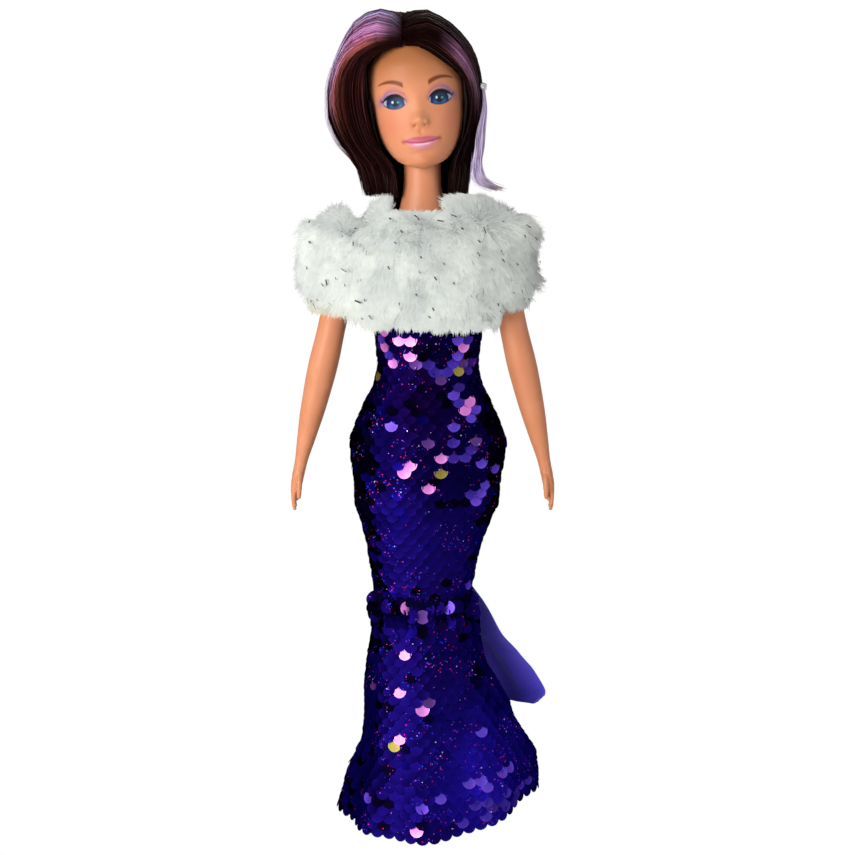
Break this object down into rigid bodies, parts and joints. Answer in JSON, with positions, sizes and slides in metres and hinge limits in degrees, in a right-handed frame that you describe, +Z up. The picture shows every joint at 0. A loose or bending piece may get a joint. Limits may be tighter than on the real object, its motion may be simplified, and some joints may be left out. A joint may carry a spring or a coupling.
{
  "type": "fashion doll",
  "caption": "Slim adult-style fashion doll with rooted hair, in a floor-length sequined mermaid gown with a flared hem and side train, and a faux-fur shoulder stole.",
  "frame": {"origin": "on the floor under the middle of the doll's box, between the feet", "axes": "+Z up, the doll faces -Y, its own left side is at +X"},
  "size_m": [0.0982, 0.0731, 0.2901],
  "materials": {
    "vinyl_skin": "satin soft vinyl",
    "dark_hair": "glossy synthetic hair",
    "lilac_hair": "glossy synthetic hair",
    "clear_plastic": "clear elastic",
    "hard_plastic": "moulded",
    "shoe_plastic": "moulded",
    "sequin_cloth": "metallic flip sequins on knit",
    "satin": "satin",
    "closure_tape": "hook and loop tape",
    "white_fur": "faux fur with tinsel",
    "lining_satin": "satin"
  },
  "bodies": {
    "torso": {"torso_front": "vinyl_skin", "torso_back": "vinyl_skin", "hip_axle": "hard_plastic", "dress_body": "sequin_cloth", "dress_hook_strip": "closure_tape", "dress_loop_strip": "closure_tape", "stole_fur": "white_fur", "stole_lining": "lining_satin"},
    "neck": {"neck_knob": "hard_plastic"},
    "head": {"head": "vinyl_skin", "hair_back": "dark_hair", "hair_left": "dark_hair", "hair_right": "dark_hair", "hair_streak_right": "lilac_hair", "hair_streak_left": "lilac_hair", "hair_tie": "clear_plastic"},
    "left_arm": {"left_arm": "vinyl_skin", "left_shoulder_peg": "hard_plastic"},
    "right_arm": {"right_arm": "vinyl_skin", "right_shoulder_peg": "hard_plastic"},
    "left_leg": {"left_leg": "vinyl_skin", "left_shoe": "shoe_plastic", "dress_flounce": "sequin_cloth", "dress_train": "satin"},
    "right_leg": {"right_leg": "vinyl_skin", "right_shoe": "shoe_plastic"}
  },
  "joints": [
    {"name": "head_turn", "type": "hinge", "parent": "torso", "child": "neck", "pos_m": [0, 0.0022, 0.2445], "axis": [0, 0, 1], "range_deg": [-90, 90]},
    {"name": "head_tilt", "type": "hinge", "parent": "neck", "child": "head", "pos_m": [0, 0.0022, 0.2445], "axis": [0, 1, 0], "range_deg": [-3.5, 10]},
    {"name": "left_shoulder", "type": "hinge", "parent": "torso", "child": "left_arm", "pos_m": [0.0212, 0, 0.207], "axis": [-1, 0, 0], "range_deg": [-45, 120], "deforming": ["stole_fur", "stole_lining"]},
    {"name": "right_shoulder", "type": "hinge", "parent": "torso", "child": "right_arm", "pos_m": [-0.0212, 0, 0.207], "axis": [-1, 0, 0], "range_deg": [-45, 120], "deforming": ["stole_fur", "stole_lining"]},
    {"name": "left_hip", "type": "hinge", "parent": "torso", "child": "left_leg", "pos_m": [0.0043, 0, 0.139], "axis": [-1, 0, 0], "range_deg": [0, 80], "deforming": ["dress_body"]},
    {"name": "right_hip", "type": "hinge", "parent": "torso", "child": "right_leg", "pos_m": [-0.0043, 0, 0.139], "axis": [-1, 0, 0], "range_deg": [0, 80], "deforming": ["dress_body"]}
  ],
  "couplings": [
    {"joint": "right_hip", "follows": "left_hip", "ratio": 1}
  ]
}
